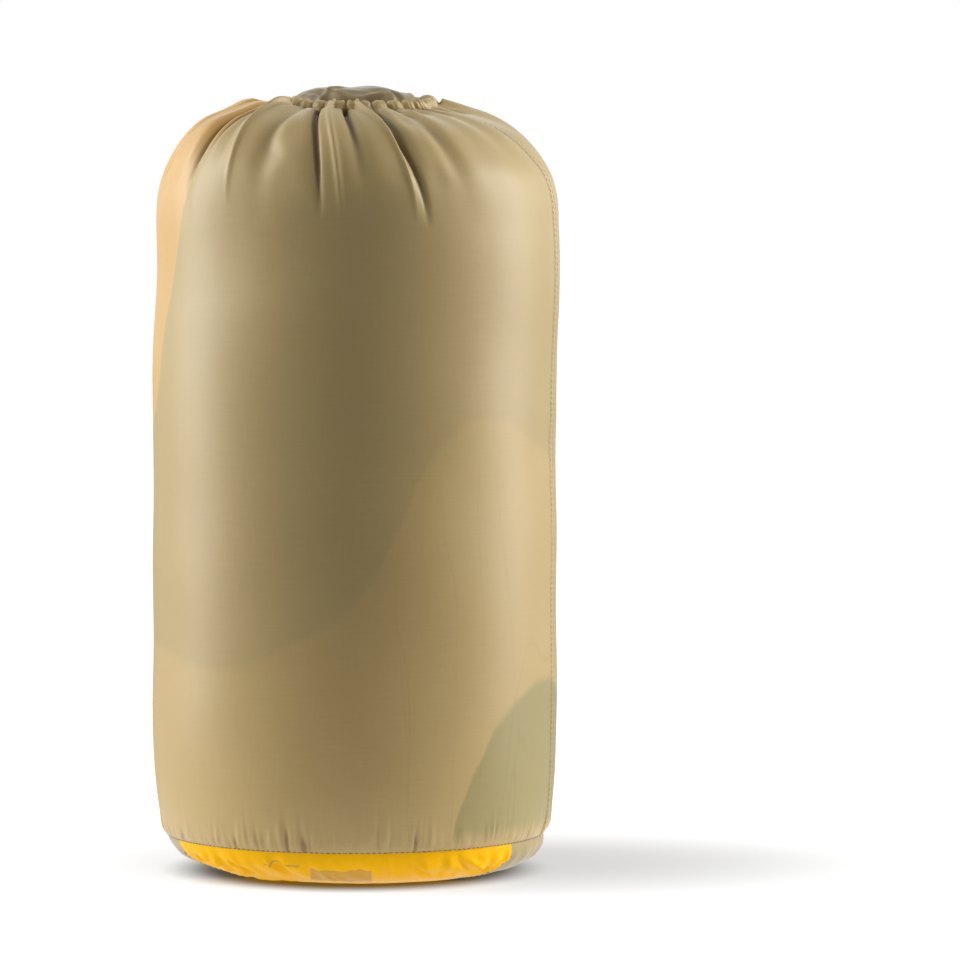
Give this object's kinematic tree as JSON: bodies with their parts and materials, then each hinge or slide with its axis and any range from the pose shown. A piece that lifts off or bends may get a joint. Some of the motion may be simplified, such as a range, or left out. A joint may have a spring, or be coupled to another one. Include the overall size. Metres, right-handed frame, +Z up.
{
  "type": "compression sack",
  "caption": "Stuffed drawcord sack: a soft fabric cylinder with a gathered mouth, a sewn round base with a yellow panel, and a spring cord lock.",
  "frame": {"origin": "middle of the base, on the surface that the sack stands on", "axes": "+Z up along the sack, -Y towards the front, where the yellow base panel is; the eyelets and the cord lock are at +Y"},
  "size_m": [0.24, 0.24, 0.467],
  "materials": {
    "khaki_fabric": "satin",
    "yellow_fabric": "satin",
    "binding_tape": "matte",
    "quilted_load": "matte",
    "braided_cord": "matte",
    "lock_plastic": "satin",
    "nickel": "polished"
  },
  "bodies": {
    "sack": {"side_panel": "khaki_fabric", "side_seam_strip": "khaki_fabric", "base_panel": "khaki_fabric", "base_label_panel": "yellow_fabric", "base_seam_binding": "binding_tape", "drawcord_channel": "khaki_fabric", "eyelet_patch": "binding_tape", "eyelet_left": "nickel", "eyelet_right": "nickel", "drawcord": "braided_cord", "dust_flap": "khaki_fabric", "stuffing": "quilted_load"},
    "drawcord_tails": {"drawcord_tail_left": "braided_cord", "drawcord_tail_right": "braided_cord", "drawcord_knot": "braided_cord"},
    "cord_lock": {"cord_lock_barrel": "lock_plastic", "cord_lock_spring": "nickel"},
    "lock_button": {"cord_lock_plunger": "lock_plastic"}
  },
  "joints": [
    {"name": "tails_swing", "type": "hinge", "parent": "sack", "child": "drawcord_tails", "pos_m": [0, 0.04959, 0.46069], "axis": [1, 0, 0], "range_deg": [0, 105]},
    {"name": "lock_slide", "type": "slide", "parent": "drawcord_tails", "child": "cord_lock", "axis": [0, 0.9848, -0.1736], "range_m": [0, 0.012]},
    {"name": "button_press", "type": "slide", "parent": "cord_lock", "child": "lock_button", "axis": [-1, 0, 0], "range_m": [0, 0.0032], "stiffness_N_per_m": 300, "springref_m": -0.004, "deforming": ["cord_lock_spring"]}
  ]
}
